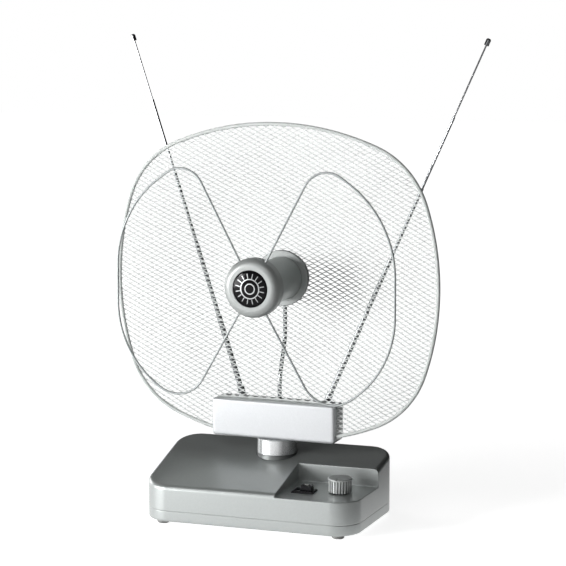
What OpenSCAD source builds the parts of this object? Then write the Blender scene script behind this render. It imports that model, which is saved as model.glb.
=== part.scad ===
// Indoor television antenna with a wire mesh reflector, two wire loops and
// two telescopic whips on a swivelling head, standing on an amplifier base.
// Sizes are in millimetres. X runs to the right, Y to the rear and Z up.
// The rubber feet rest on the plane Z = 0.

/* [Base] */
// Width of the base along its front edge
base_w = 190; // [180:1:215]
// How much wider the base is along its rear edge
base_flare = 12; // [4:1:20]
// Depth of the base from front to rear
base_d = 112; // [108:1:130]
// Height of the top surface at the front edge
front_h = 35; // [34:0.5:40]
// Height of the top surface at the rear edge
rear_h = 58; // [54:0.5:66]
// Radius of the upright corners of the base
corner_r = 22; // [16:1:26]
// Rounding of the edge between the top and the walls
edge_r = 4; // [2.5:0.5:5]
// Thickness of the plastic walls
wall = 2.4; // [2:0.1:2.8]
// Height of the seam between the tray and the cover
seam_z = 12.5; // [11:0.5:14]
// Diameter of a rubber foot
foot_d = 11; // [8:0.5:13]
// Height of a rubber foot below the tray
foot_h = 3; // [2:0.5:4]

/* [Control corner] */
// Width of the open corner with the controls
recess_w = 69; // [64:1:76]
// Depth of the open corner from the front edge
recess_d = 63.5; // [60:0.5:66]
// Drop of the corner floor below the front edge of the top
recess_drop = 2.7; // [2:0.1:3.5]
// Diameter of the gain knob
knob_d = 20; // [16:0.5:24]
// Height of the gain knob
knob_h = 12; // [9:0.5:14]
// Number of grooves round the gain knob
knob_grooves = 24; // [12:1:30]
// Width of the switch frame
switch_w = 19; // [17:0.5:21]
// Travel of the switch slider
switch_travel = 4; // [3:0.5:5]

/* [Swivelling head] */
// Angle of the head on the base, left is positive
head_turn = -2.5; // [-80:0.5:80]
// Diameter of the round neck under the head box
neck_d = 34.9; // [32:0.1:36]
// Height of the turning part of the neck
neck_h = 13; // [11:0.2:16]
// Width of the head box
box_w = 115.5; // [108:0.5:124]
// Height of the head box
box_h = 33.5; // [31:0.5:38]
// Depth of the head box
box_d = 24; // [23:0.5:27]
// Rounding of the edges of the head box
box_edge = 2.5; // [1.5:0.5:3]

/* [Reflector and hub] */
// Height of the hub centre above the bottom of the head box
hub_rise = 140; // [134:1:146]
// Half of the width of the reflector rim
rim_a = 148.7; // [140:0.1:160]
// Half of the height of the reflector rim
rim_b = 138.3; // [134:0.1:140]
// How far the middle of the rim lies below the hub centre
rim_drop = 2.4; // [0:0.1:4]
// Diameter of the wire of the rim
rim_d = 3.4; // [3:0.1:4]
// Depth of the mesh bowl
bowl_depth = 20; // [16:0.5:22]
// Thickness of the expanded metal mesh
mesh_t = 0.9; // [0.7:0.1:1.2]
// Distance between the diamond gaps of the mesh from left to right
cell_w = 45; // [44:0.5:46]
// Distance between the rows of diamond gaps
cell_h = 28; // [27:0.5:30]
// Width of the metal strands between the gaps
strand = 1.7; // [1.4:0.1:2.2]
// Length of the hub from the mesh to the front of its cap
hub_len = 75; // [68:1:82]
// Diameter of the dark hub body
hub_d = 38; // [34:0.5:40]
// Diameter of the front cap
cap_d = 51; // [48:0.5:56]
// Diameter of the flange at the mesh
flange_d = 49.4; // [46:0.2:54]
// Diameter of the round badge in the front cap
badge_d = 31.6; // [28:0.2:34]
// Diameter of the bent tube that carries the hub
post_d = 4; // [3.6:0.1:4.4]

/* [Wire loops] */
// Diameter of the loop wire
loop_d = 2; // [1.6:0.1:2.4]
// Largest distance of a loop from the middle
loop_reach = 126; // [118:1:132]
// Height of the upper corner of a loop above the hub centre
loop_top = 110; // [104:1:114]

/* [Whips] */
// Angle of the left whip from upright
left_lean = 18.3; // [2:0.1:70]
// Angle of the right whip from upright
right_lean = 24.2; // [2:0.1:70]
// Distance of a whip hinge from the middle
whip_x = 37.7; // [34:0.1:40]
// Diameter of the widest whip tube
whip_d = 5; // [4.8:0.1:5.6]
// Length of the widest whip tube
tube_len = 72; // [66:1:80]
// How far the last section of the left whip is pushed in
left_short = 12; // [0:1:40]
// How far the last section of the right whip is pushed in
right_short = 0.5; // [0:0.5:40]
// Diameter of the button on the tip of a whip
tip_d = 4.2; // [3:0.1:5]

/* [Hidden] */
$fn = 64;
seat = 0.3;
half_d = base_d / 2;
slope = (rear_h - front_h) / base_d;
floor_z = front_h - recess_drop;
recess_x = base_w / 2 - recess_w;
recess_y = -half_d + recess_d;
knob_x = base_w / 2 - 22.5;
knob_y = -half_d + 36;
knob_z = floor_z + 1;
switch_x = recess_x + 17;
switch_y = -half_d + 29;
foot_x = base_w / 2 - 16;
foot_y = half_d - 10;
screw_x = base_w / 2 - 35;
screw_y = half_d - 11;
board_z = foot_h + 17;
board_t = 1.6;
board_x0 = recess_x + 2;
board_x1 = base_w / 2 - 10;
board_y0 = -half_d + 21;
board_y1 = half_d - 16;
port_z = board_z + board_t + 6.5;
port_out = 9.5;
coax_x = recess_x + 16;
power_x = base_w / 2 - 19;
neck_y = 26;
neck_r = neck_d / 2;
boss_z = top_at(neck_y) + 0.4;
neck_z = boss_z + seat;
box_z = neck_z + neck_h;
stub_r = 9;
neck_gap = 0.6;
run_gap = 0.08;
split_y = -7;
box_front_y = -11.5;
box_rear_y = box_front_y + box_d;
box_wall = 2;
hub_z = box_z + hub_rise;
mesh_y = 13;
rim_y = mesh_y - bowl_depth;
cap_y = mesh_y - hub_len;
cap_len = 14;
cap_edge = 6.5;
post_in_y = 6;
post_top_y = mesh_y + mesh_t + 5;
rear_cap_r = 22;
rear_cap_t = 10;
pivot_z = box_z + 26;
whip_y = box_rear_y + 4.6;
knuckle_t = 5;
tube_z = 9;
step = 0.45;
tube_wall = 0.3;
overlap = 8;
section_len = tube_len + 3;
tip_h = 6;
silver = [0.80, 0.81, 0.81];
pale = [0.90, 0.91, 0.92];
dark = [0.40, 0.43, 0.43];
black = [0.08, 0.08, 0.09];
chrome = [0.75, 0.76, 0.78];
rubber = [0.62, 0.62, 0.62];
steel = [0.66, 0.67, 0.69];
green = [0.10, 0.36, 0.20];

function top_at(y) = front_h + slope * (y + half_d);
function side(x) = x < 0 ? -1 : 1;
// Plan of the base at one inset, a rounded shape that widens to the rear
function plan(inset, steps) = [for (c = [[1, -1, -90], [1, 1, 0], [-1, 1, 90], [-1, -1, 180]])
    for (k = [0:steps])
    let (a = c[2] + 90 * k / steps, r = corner_r - inset)
    let (x = c[0] * (base_w / 2 - corner_r) + r * cos(a))
    let (y = c[1] * (half_d - corner_r) + r * sin(a))
    [x + side(c[0]) * base_flare / 2 * (y + half_d) / base_d, y]];
function flat_ring(inset, z, steps) = [for (p = plan(inset, steps)) [p[0], p[1], z]];
function top_ring(inset, drop, steps) = [for (p = plan(inset, steps)) [p[0], p[1], top_at(p[1]) - drop]];
// Outline of the head box in X and Z at one inset
function box_ring(inset, y, steps) = [for (c = [[1, 0, -90], [1, 1, 0], [-1, 1, 90], [-1, 0, 180]])
    for (k = [0:steps])
    let (a = c[2] + 90 * k / steps, r = 3.2)
    let (h = box_h - 2 * inset, w = box_w - 2 * inset, q = r - min(inset, r - 0.6))
    [c[0] * (w / 2 - q) + q * cos(a), y, box_z + inset + (c[1] > 0 ? h - q : q) + q * sin(a)]];
// Where two circles meet, on the outer side
function corner_centre(ct, cs, r1, r2) = let (d = norm(cs - ct), k = (r1 * r1 - r2 * r2 + d * d) / (2 * d))
    let (h = sqrt(r1 * r1 - k * k), u = (cs - ct) / d) ct + u * k + [u[1], -u[0]] * h;
rim_rt = 1.772 * rim_b;
rim_rs = 1.543 * rim_a;
rim_rc = 0.539 * (rim_a + rim_b) / 2;
rim_ct = [0, rim_b - rim_rt];
rim_cs = [rim_a - rim_rs, 0];
rim_c = corner_centre(rim_ct, rim_cs, rim_rt - rim_rc, rim_rs - rim_rc);
rim_at = atan2(rim_c[1] - rim_ct[1], rim_c[0] - rim_ct[0]);
rim_as = atan2(rim_c[1] - rim_cs[1], rim_c[0] - rim_cs[0]);
rim_end = acos((box_w / 2 - 6) / rim_rt);
// Points of the rim in one quarter, used for the edge of the mesh
function quarter(g) = concat(
    [for (k = [0:5]) let (a = rim_as * k / 6) rim_cs + (rim_rs - g) * [cos(a), sin(a)]],
    [for (k = [0:9]) let (a = rim_as + (rim_at - rim_as) * k / 10) rim_c + (rim_rc - g) * [cos(a), sin(a)]],
    [for (k = [0:6]) let (a = rim_at + (90 - rim_at) * k / 6) rim_ct + (rim_rt - g) * [cos(a), sin(a)]]);
function mirror_list(q, sx, sy) = [for (p = q) [sx * p[0], sy * p[1]]];
function backwards(q) = [for (k = [len(q) - 1:-1:0]) q[k]];
function rim_outline(g) = concat(quarter(g), backwards(mirror_list(quarter(g), -1, 1)),
    mirror_list(quarter(g), -1, -1), backwards(mirror_list(quarter(g), 1, -1)));
// Depth of the bowl at a distance from its centre, in the hub frame
bowl_r0 = flange_d / 2 + 0.6;
bowl_r1 = 150 - bowl_r0;
function bowl_z(r) = -rim_y - bowl_depth * pow(1 - pow(max(0, r - bowl_r0) / bowl_r1, 2), 2);
// Solid from a stack of rings with the same number of points
module skin(rings) {
    n = len(rings[0]);
    m = len(rings);
    pts = [for (r = rings) for (p = r) p];
    walls = [for (j = [0:m - 2]) for (i = [0:n - 1]) for (t = [0, 1])
        let (i2 = (i + 1) % n)
        t == 0 ? [j * n + i, (j + 1) * n + i, (j + 1) * n + i2] : [j * n + i, (j + 1) * n + i2, j * n + i2]];
    bottom = [for (i = [0:n - 1]) i];
    top = [for (i = [n - 1:-1:0]) (m - 1) * n + i];
    polyhedron(points = pts, faces = concat([bottom, top], walls), convexity = 6);
}
// Points along a path in the X Y plane with rounded corners, each with its heading
function wire_points(path, radii, steps) = let (n = len(path)) concat(
    [[path[0], heading(path[1] - path[0])]],
    [for (i = [1:n - 2])
        let (r = radii[i - 1], u = unit(path[i - 1] - path[i]), w = unit(path[i + 1] - path[i]))
        let (c = path[i] + unit(u + w) * r / sin(turn_at(path, i) / 2))
        let (s = path[i] + u * r / tan(turn_at(path, i) / 2) - c)
        let (sense = u[0] * w[1] - u[1] * w[0] > 0 ? -1 : 1, sweep = 180 - turn_at(path, i))
        for (k = [0:steps])
        let (a = heading(s) + sense * sweep * k / steps)
        [c + r * [cos(a), sin(a)], a + sense * 90]],
    [[path[n - 1], heading(path[n - 1] - path[n - 2])]]);
function unit(v) = v / norm(v);
function heading(v) = atan2(v[1], v[0]);
function turn_at(path, i) = let (u = path[i - 1] - path[i], w = path[i + 1] - path[i])
    acos((u * w) / norm(u) / norm(w));
// Points of an arc, each with its heading
function arc_points(c, r, from, to, steps) = [for (k = [0:steps]) let (a = from + (to - from) * k / steps)
    [c + r * [cos(a), sin(a)], a + (to > from ? 90 : -90)]];
// Round bar along points that each carry a heading
module bar(pts, d, sides) {
    skin([for (p = pts) [for (k = [0:sides - 1])
        let (b = 360 * (k + 0.5) / sides)
        [p[0][0] + d / 2 * cos(b) * sin(p[1]), p[0][1] - d / 2 * cos(b) * cos(p[1]), -d / 2 * sin(b)]]]);
}
// Open round tube along points that each carry a heading
module pipe(pts, d, bore, sides) {
    n = len(pts);
    rings = [for (k = [0:2 * n - 1]) let (p = pts[k < n ? k : 2 * n - 1 - k], r = (k < n ? d : bore) / 2)
        [for (i = [0:sides - 1]) let (b = 360 * (i + 0.5) / sides)
            [p[0][0] + r * cos(b) * sin(p[1]), p[0][1] - r * cos(b) * cos(p[1]), -r * sin(b)]]];
    faces = [for (j = [0:2 * n - 1]) for (i = [0:sides - 1]) for (t = [0, 1])
        let (q = j * sides, w = (j + 1) % (2 * n) * sides, i2 = (i + 1) % sides)
        t == 0 ? [q + i, w + i, w + i2] : [q + i, w + i2, q + i2]];
    polyhedron(points = [for (r = rings) for (p = r) p], faces = faces, convexity = 6);
}

// The middle of the whole object in X and Y is the origin
function tip_x(s, lean, short) = let (l = start_z(5) - short + section_len + tip_h - 1.5, a = s * lean)
    cos(head_turn) * (s * whip_x + l * sin(a)) - sin(head_turn) * whip_y + s * tip_d / 2 * cos(lean);
shift_x = (tip_x(-1, left_lean, left_short) + tip_x(1, right_lean, right_short)) / 2;
shift_y = port_out / 2;
module in_base() {
    translate([-shift_x, -shift_y, 0]) children();
}
module in_head() {
    in_base() translate([0, neck_y, 0]) rotate([0, 0, head_turn]) children();
}
module on_hub() {
    in_head() translate([0, 0, hub_z]) rotate([90, 0, 0]) children();
}
module in_whip(s, lean) {
    in_head() translate([s * whip_x, whip_y, pivot_z]) rotate([0, s * lean, 0]) children();
}

// Base
module base_outer(inset, low) {
    e = edge_r - inset;
    skin(concat([flat_ring(inset, low, 10)],
        [for (f = [0:22.5:90]) top_ring(inset + e * (1 - cos(f)), inset + e * (1 - sin(f)), 10)]));
}
module low_front(e) {
    skin(concat([flat_ring(0, seam_z, 10)],
        [for (f = [0:22.5:90]) flat_ring(e * (1 - cos(f)), floor_z - e * (1 - sin(f)), 10)]));
}
module recess_block(g) {
    translate([recess_x - g, -base_d, floor_z - g]) cube([base_w, base_d + recess_y + g, rear_h]);
}
module at_screws() {
    for (p = [[-1, -1], [1, -1], [-1, 1], [1, 1]]) translate([p[0] * screw_x, p[1] * screw_y, 0]) children();
}
module base_cover() {
    color(silver) in_base() difference() {
        union() {
            difference() {
                base_outer(0, seam_z);
                recess_block(0);
            }
            low_front(3);
            translate([0, neck_y, neck_z - 12.95]) cylinder(h = 12.65, r = neck_r);
        }
        translate([0, neck_y, boss_z]) cylinder(h = rear_h, r = neck_r + neck_gap);
        difference() {
            base_outer(wall, seam_z - 1);
            recess_block(wall);
            translate([0, neck_y, boss_z - wall]) cylinder(h = rear_h, r = neck_r + neck_gap + wall);
            translate([0, neck_y, neck_z - 12.95]) cylinder(h = 30, r = stub_r + 3.4);
            at_screws() translate([0, 0, 0]) cylinder(h = rear_h, r = 4);
        }
        at_screws() translate([0, 0, 0]) cylinder(h = 22, r = 1.5);
        at_screws() translate([0, 0, 0]) cylinder(h = seam_z - 1, r = 5);
        translate([0, neck_y, 0]) cylinder(h = rear_h + 10, r = stub_r + run_gap);
        translate([knob_x, knob_y, floor_z - 5]) cylinder(h = 10, r = 4);
        translate([switch_x - 8.5, switch_y - 4, floor_z - 5]) cube([17, 8, 10]);
        translate([coax_x, half_d - 6, port_z]) rotate([-90, 0, 0]) cylinder(h = 12, r = 5);
        translate([power_x - 4.8, half_d - 6, port_z - 5.6]) cube([9.6, 12, 11.4]);
        for (k = [0:6]) translate([-screw_x + 8 * k, half_d - 6, 24]) cube([3, 12, 14]);
    }
}
module base_tray() {
    e = 2;
    color(silver) in_base() difference() {
        union() {
            difference() {
                skin(concat([for (f = [0:30:90]) flat_ring(e * (1 - sin(f)), foot_h + e * (1 - cos(f)), 10)],
                    [flat_ring(0, seam_z, 10)]));
                skin([flat_ring(wall, foot_h + wall, 10), flat_ring(wall, seam_z + 1, 10)]);
            }
            difference() {
                skin([flat_ring(wall - 0.6, seam_z - 4, 10), flat_ring(wall - 0.6, seam_z, 10)]);
                skin([flat_ring(wall + 1.8, seam_z - 5, 10), flat_ring(wall + 1.8, seam_z + 1, 10)]);
            }
            difference() {
                skin([flat_ring(wall + seat, seam_z - 2, 10), flat_ring(wall + seat, seam_z + 3, 10)]);
                skin([flat_ring(wall + 1.8, seam_z - 5, 10), flat_ring(wall + 1.8, seam_z + 4, 10)]);
            }
            at_screws() translate([0, 0, foot_h + 1]) cylinder(h = seam_z - 2 - foot_h, r = 4.8);
            for (p = board_posts()) translate([p[0], p[1], foot_h + 1]) cylinder(h = board_z - foot_h - 1, r = 3);
            for (p = foot_places()) translate([p[0], p[1], foot_h + 1]) cylinder(h = 3, r = foot_d / 2 + 1.2);
            for (k = [-1, 0, 1]) translate([-base_w / 2 + 12, k * 26 - 0.8, foot_h + 1]) cube([base_w / 2 - 30, 1.6, 5]);
        }
        at_screws() translate([0, 0, -1]) cylinder(h = foot_h + 4, r = 3.2);
        at_screws() cylinder(h = seam_z + 5, r = 1.75);
        for (p = foot_places()) translate([p[0], p[1], foot_h - 1]) cylinder(h = 2.5, r = foot_d / 2 - 0.9);
        for (k = [0:7]) translate([-40 + 9 * k, -30, 0]) cube([3.2, 18, foot_h + wall + 1]);
        for (p = board_posts()) translate([p[0], p[1], board_z - 6]) cylinder(h = 8, r = 1.1);
    }
}
function board_posts() = [[board_x0 + 5, board_y0 + 5], [board_x1 - 5, board_y0 + 5],
    [board_x0 + 5, board_y1 - 14], [board_x1 - 5, board_y1 - 14]];
function foot_places() = [[-foot_x, -foot_y], [foot_x, -foot_y], [-foot_x, foot_y], [foot_x, foot_y]];
module foot(k) {
    p = foot_places()[k];
    color(rubber) in_base() translate([p[0], p[1], 0]) {
        rotate_extrude() polygon([[0, 0], [foot_d / 2 - 0.9, 0], [foot_d / 2 - 0.2, 0.7],
            [foot_d / 2, foot_h], [foot_d / 2 - 0.9, foot_h], [foot_d / 2 - 0.9, foot_h + 1.5], [0, foot_h + 1.5]]);
    }
}
module screw(x, y, z, len) {
    translate([x, y, z]) difference() {
        union() {
            cylinder(h = 2, r = 2.9);
            cylinder(h = len, r = 1.5);
        }
        translate([-0.5, -2, -0.1]) cube([1, 4, 1.1]);
        translate([-2, -0.5, -0.1]) cube([4, 1, 1.1]);
    }
}
module base_screw(sx, sy) {
    color(steel) in_base() screw(sx * screw_x, sy * screw_y, foot_h + 1, 16);
}

// Amplifier in the base
module amplifier_board() {
    color(green) in_base() difference() {
        union() {
            translate([board_x0, board_y0, board_z]) cube([board_x1 - board_x0, board_y1 - board_y0, board_t]);
            for (p = board_posts()) translate([p[0], p[1], board_z - 5]) cylinder(h = 6, r = 1.1);
            translate([board_x0 + 8, 6, board_z + 1]) cube([16, 20, 7.6]);
            translate([board_x0 + 30, 10, board_z + 1]) cube([9, 6, 3.1]);
            translate([board_x0 + 33, 24, board_z + 1]) cylinder(h = 9, r = 4);
            translate([board_x1 - 10, 6, board_z + 1]) cylinder(h = 8, r = 3.2);
            for (k = [0:3]) translate([board_x0 + 28 + 5 * k, -2, board_z + 1]) cube([2.2, 4.5, 2]);
        }
        translate([board_x0 + 32, 11.5, board_z + 3.4]) cylinder(h = 2, r = 0.5);
    }
}
module gain_pot() {
    color(steel) in_base() difference() {
        union() {
            translate([knob_x - 8, knob_y - 8, board_z + board_t]) cube([16, 16, floor_z - wall - board_z - board_t - 0.6]);
            translate([knob_x, knob_y, board_z + 6]) cylinder(h = floor_z - board_z - 6.4, r = 3.8);
        }
        translate([knob_x, knob_y, board_z + 3]) cylinder(h = 20, r = 3 + run_gap);
    }
}
module gain_shaft() {
    color(steel) in_base() translate([knob_x, knob_y, 0]) difference() {
        translate([0, 0, board_z + 3.3]) cylinder(h = knob_z + knob_h - 3 - board_z - 3.3, r = 3);
        translate([-0.5, -4, knob_z + knob_h - 7]) cube([1, 8, 6]);
    }
}
module gain_knob() {
    color(silver) in_base() translate([knob_x, knob_y, knob_z]) difference() {
        union() {
            cylinder(h = knob_h - 1.6, r = knob_d / 2);
            translate([0, 0, knob_h - 1.6]) cylinder(h = 0.8, r = knob_d / 2 + 0.6);
            translate([0, 0, knob_h - 0.8]) cylinder(h = 0.8, r1 = knob_d / 2 + 0.6, r2 = knob_d / 2 - 0.2);
        }
        for (k = [0:knob_grooves - 1]) rotate([0, 0, 360 * (k + 0.5) / knob_grooves])
            translate([knob_d / 2 + 0.25, 0, -1]) cylinder(h = knob_h - 0.8, r = 0.85, $fn = 20);
        translate([0, 0, -1]) cylinder(h = knob_h - 2, r = 3.02);
        translate([0, 0, -1]) cylinder(h = 2.2, r = 6.5);
        translate([-0.6, -knob_d / 2 - 2, knob_h - 0.7]) cube([1.2, 7, 2]);
    }
}
module switch_body() {
    color(steel) in_base() difference() {
        translate([switch_x - 10, switch_y - 5.5, board_z + board_t]) cube([20, 11, floor_z - wall - board_z - board_t - seat]);
        translate([switch_x - 8, switch_y - 3.4, board_z + board_t + 2]) cube([16, 6.8, 20]);
    }
}
module switch_frame() {
    d = 15;
    color(black) in_base() translate([switch_x, switch_y, floor_z]) difference() {
        union() {
            translate([-switch_w / 2, -d / 2, 0]) cube([switch_w, d, 1]);
            translate([-switch_w / 2 + 0.8, -d / 2 + 0.8, 0]) cube([switch_w - 1.6, d - 1.6, 1.7]);
            translate([-8.2, -3.8, -wall + 0.2]) cube([16.4, 7.6, wall]);
        }
        translate([-7.4, -3, -wall - 1]) cube([14.8, 6, wall + 6]);
    }
}
module switch_slider() {
    z0 = board_z + board_t + 2.3;
    w = 14.4 - switch_travel;
    color(black) in_base() translate([switch_x + 7.2 - w, switch_y - 2.9, z0]) difference() {
        union() {
            cube([w, 5.8, floor_z + 2 - z0]);
            translate([0.4, -0.9, floor_z + 2 - z0]) cube([w - 0.4, 8, 1.6]);
            translate([0.9, -0.2, floor_z + 3 - z0]) cube([w - 1.4, 6.8, 3]);
        }
        for (k = [0:2]) translate([2.5 + 2.4 * k, -2, floor_z + 5.4 - z0]) cube([1.1, 12, 2]);
    }
}
module coax_socket() {
    color(chrome) in_base() translate([coax_x, 0, port_z]) {
        rotate([-90, 0, 0]) difference() {
            union() {
                translate([0, 0, half_d - 18]) cylinder(h = 14, r = 5.6);
                translate([0, 0, half_d - 6]) cylinder(h = 6 + port_out, r = 4.7);
                translate([0, 0, half_d - 6]) cylinder(h = 6.4, r = 4.9);
            }
            translate([0, 0, half_d - 3]) cylinder(h = 20, r = 3.6);
            translate([0, 0, half_d - 14]) cylinder(h = 30, r = 1.4);
        }
        translate([-5, half_d - 18, board_z + board_t - port_z]) cube([10, 4, 4]);
    }
}
module coax_pin() {
    color(pale) in_base() translate([coax_x, 0, port_z]) rotate([-90, 0, 0]) difference() {
        union() {
            translate([0, 0, half_d - 14]) cylinder(h = 22, r = 1.4);
            translate([0, 0, half_d - 3]) cylinder(h = 8.5, r = 3.6);
        }
        translate([0, 0, half_d - 4]) cylinder(h = 20, r = 0.6);
    }
}
module power_socket() {
    color(black) in_base() translate([power_x, 0, port_z]) {
        difference() {
            union() {
                translate([-4.5, half_d - 18, -5.3]) cube([9, 18, 10.8]);
                translate([-4.5, half_d - 18, board_z + board_t - port_z]) cube([9, 14, 3]);
            }
            translate([0, half_d - 10, 0]) rotate([-90, 0, 0]) cylinder(h = 20, r = 2.85);
        }
        translate([0, half_d - 12, 0]) rotate([-90, 0, 0]) cylinder(h = 11, r = 1.05);
    }
}

// Neck and head box
module neck() {
    color(silver) in_head() difference() {
        union() {
            translate([0, 0, neck_z]) cylinder(h = neck_h, r = neck_r);
            translate([0, 0, neck_z - 17]) cylinder(h = 18, r = stub_r);
            translate([0, 0, box_z - 1]) cylinder(h = 5.5, r = 6);
        }
        cylinder(h = box_z + 20, r = 4);
        translate([0, 0, neck_z - 15]) difference() {
            cylinder(h = 1.9, r = 12);
            translate([0, 0, -1]) cylinder(h = 4, r = 7.6);
        }
        for (s = [-1, 1]) translate([s * 12.5, 1, neck_z - 1]) {
            cylinder(h = neck_h + 3, r = 1.7);
            cylinder(h = 4, r = 3.1);
        }
    }
}
module neck_ring() {
    color(steel) in_head() translate([0, 0, neck_z - 14.85]) difference() {
        cylinder(h = 1.6, r = 13);
        translate([0, 0, -1]) cylinder(h = 4, r = 7.7);
        translate([-7.4, 0, -1]) cube([14.8, 20, 4]);
    }
}
module neck_screw(s) {
    color(steel) in_head() screw(s * 12.5, 1, neck_z + 0.8, neck_h + 6.2);
}
module box_skin(g) {
    e = box_edge;
    y1 = box_rear_y;
    y0 = box_front_y;
    skin(concat([for (f = [0:22.5:90]) box_ring(e * (1 - sin(f)), y1 - e * (1 - cos(f)), 5)],
        [for (f = [0:22.5:90]) box_ring(e * (1 - cos(f)), y0 + e * (1 - sin(f)), 5)]));
}
module box_hollow() {
    translate([-box_w / 2 + box_wall, box_front_y + box_wall, box_z + box_wall])
        cube([box_w - 2 * box_wall, box_d - 2 * box_wall, box_h - 2 * box_wall]);
}
module rim_holes() {
    for (s = [-1, 1]) translate([s * box_w / 2, split_y, rim_end_z()]) rotate([0, 90, 0]) cylinder(h = 12, r = rim_d / 2 + 0.35, center = true);
}
function rim_end_z() = hub_z - rim_drop - rim_ct[1] - rim_rt * sin(acos((box_w / 2 - 1) / rim_rt));
module box_front() {
    color(pale) in_head() {
        difference() {
            intersection() {
                box_skin(0);
                translate([-box_w, -100 + split_y, box_z - 5]) cube([2 * box_w, 100, box_h + 10]);
            }
            box_hollow();
            rim_holes();
        }
        for (s = [-1, 1]) translate([s * (box_w / 2 - 8), box_front_y + 1, box_z + box_h - 9]) rotate([-90, 0, 0]) difference() {
            cylinder(h = split_y - box_front_y - 1, r = 3.4);
            translate([0, 0, 1.5]) cylinder(h = 8, r = 1.5);
        }
    }
}
module box_rear() {
    color(dark) in_head() difference() {
        union() {
            difference() {
                intersection() {
                    box_skin(0);
                    translate([-box_w, split_y, box_z - 5]) cube([2 * box_w, 100, box_h + 10]);
                }
                difference() {
                    box_hollow();
                    translate([0, post_in_y, box_z + box_h - 13]) cylinder(h = 14, r = post_d / 2 + 2);
                    for (s = [-1, 1]) translate([s * (box_w / 2 - 8), split_y, box_z + box_h - 9]) rotate([-90, 0, 0]) cylinder(h = box_d, r = 3.4);
                    for (s = [-1, 1]) translate([s * whip_x, 0, pivot_z]) rotate([-90, 0, 0]) cylinder(h = box_d, r = 4.4);
                    for (s = [-1, 1]) translate([s * 20, 1.6, box_z + 12]) rotate([-90, 0, 0]) cylinder(h = box_d, r = 2.6);
                    for (s = [-1, 1]) translate([s * 12.5, 1, box_z]) cylinder(h = 9, r = 3.4);
                }
            }
            for (s = [-1, 1]) translate([s * whip_x, box_rear_y - 1, pivot_z]) rotate([-90, 0, 0]) cylinder(h = 2.8, r = 5.4);
        }
        translate([0, post_in_y, box_z + box_h - 11.5]) cylinder(h = 30, r = post_d / 2 + 0.02);
        for (s = [-1, 1]) translate([s * (box_w / 2 - 8), split_y - 1, box_z + box_h - 9]) rotate([-90, 0, 0]) cylinder(h = box_d + 5, r = 1.7);
        for (s = [-1, 1]) translate([s * (box_w / 2 - 8), box_rear_y - 2.4, box_z + box_h - 9]) rotate([-90, 0, 0]) cylinder(h = 5, r = 3.1);
        for (s = [-1, 1]) translate([s * whip_x, 2, pivot_z]) rotate([-90, 0, 0]) cylinder(h = 30, r = 1.6);
        for (s = [-1, 1]) translate([s * 12.5, 1, box_z - 1]) cylinder(h = 8.6, r = 1.5);
        translate([0, 0, box_z - 1]) cylinder(h = 5, r = 6.15);
        for (s = [-1, 1]) translate([s * 20, 1, box_z + 12]) rotate([-90, 0, 0]) cylinder(h = 6, r = 1.1);
        rim_holes();
    }
}
module box_screw(s) {
    color(steel) in_head() translate([s * (box_w / 2 - 8), box_rear_y - 0.2, box_z + box_h - 9]) rotate([90, 0, 0]) screw(0, 0, 0, box_d - 4.5);
}
module matching_board() {
    color(green) in_head() {
        translate([-32, 0, box_z + 9.6]) cube([64, 1.6, 8]);
        for (s = [0, 1]) mirror([s, 0, 0]) translate([6, 0, box_z + 9.6]) cube([26, 1.6, 19.4]);
        for (s = [-1, 1]) translate([s * 20, 1, box_z + 12]) rotate([-90, 0, 0]) cylinder(h = 5.6, r = 1.1);
        for (s = [-1, 1]) translate([s * 20 - 5, -4, box_z + 16]) cube([10, 4.5, 8]);
        translate([-3, -3, box_z + 11]) cube([6, 3.5, 4]);
        for (s = [-1, 1]) translate([s * 29 - 2, -2.5, box_z + 22]) cube([4, 3, 4]);
    }
}

// Hub and its post
function post_path() = [[post_in_y, box_z + box_h - 11.5], [post_in_y, box_z + box_h + 18],
    [post_top_y, box_z + box_h + 52], [post_top_y, hub_z - 8]];
module support_post() {
    color(chrome) in_head() rotate([90, 0, 90])
        pipe(wire_points(post_path(), [40, 40], 5), post_d, post_d - 1.4, 14);
}
module hub_rear_cap() {
    color(dark) on_hub() translate([0, 0, -mesh_y - mesh_t - rear_cap_t]) difference() {
        union() {
            translate([0, 0, 2.5]) cylinder(h = rear_cap_t - 2.5, r = rear_cap_r);
            cylinder(h = 2.5, r1 = rear_cap_r - 2.5, r2 = rear_cap_r);
        }
        translate([0, 0, 2.2]) difference() {
            cylinder(h = rear_cap_t, r = rear_cap_r - 2);
            translate([0, 0, -1]) cylinder(h = rear_cap_t + 2, r = 5);
            translate([-4.5, -rear_cap_r, -1]) cube([9, rear_cap_r, rear_cap_t + 2]);
        }
        translate([0, 4, rear_cap_t - 5]) rotate([90, 0, 0]) cylinder(h = 40, r = post_d / 2 + 0.02);
        translate([0, 0, -1]) cylinder(h = 20, r = 2.1);
        translate([0, 0, -1]) cylinder(h = 2.6, r = 4);
        translate([-3, 0, rear_cap_t - 8]) cube([6, 10, 12]);
    }
}
module hub_flange() {
    color(silver) on_hub() translate([0, 0, -mesh_y]) difference() {
        union() {
            cylinder(h = 2.4, r = flange_d / 2);
            translate([0, 0, 2.4]) cylinder(h = 0.6, r1 = flange_d / 2, r2 = flange_d / 2 - 0.6);
        }
        translate([0, 0, 2.4]) cylinder(h = 10, r = hub_d / 2 + 0.02);
        translate([0, 0, -1]) cylinder(h = 10, r = 5);
    }
}
module hub_body() {
    z0 = -mesh_y + 2.4;
    z1 = -cap_y - cap_len + 3;
    color(dark) on_hub() difference() {
        translate([0, 0, z0]) cylinder(h = z1 - z0, r = hub_d / 2);
        translate([0, 0, z0 + 2.5]) difference() {
            cylinder(h = 100, r = hub_d / 2 - 2);
            translate([0, 0, -1]) cylinder(h = 14, r = 4.4);
        }
        translate([0, 0, z0 - 1]) cylinder(h = 18, r = 1.8);
    }
}
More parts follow.
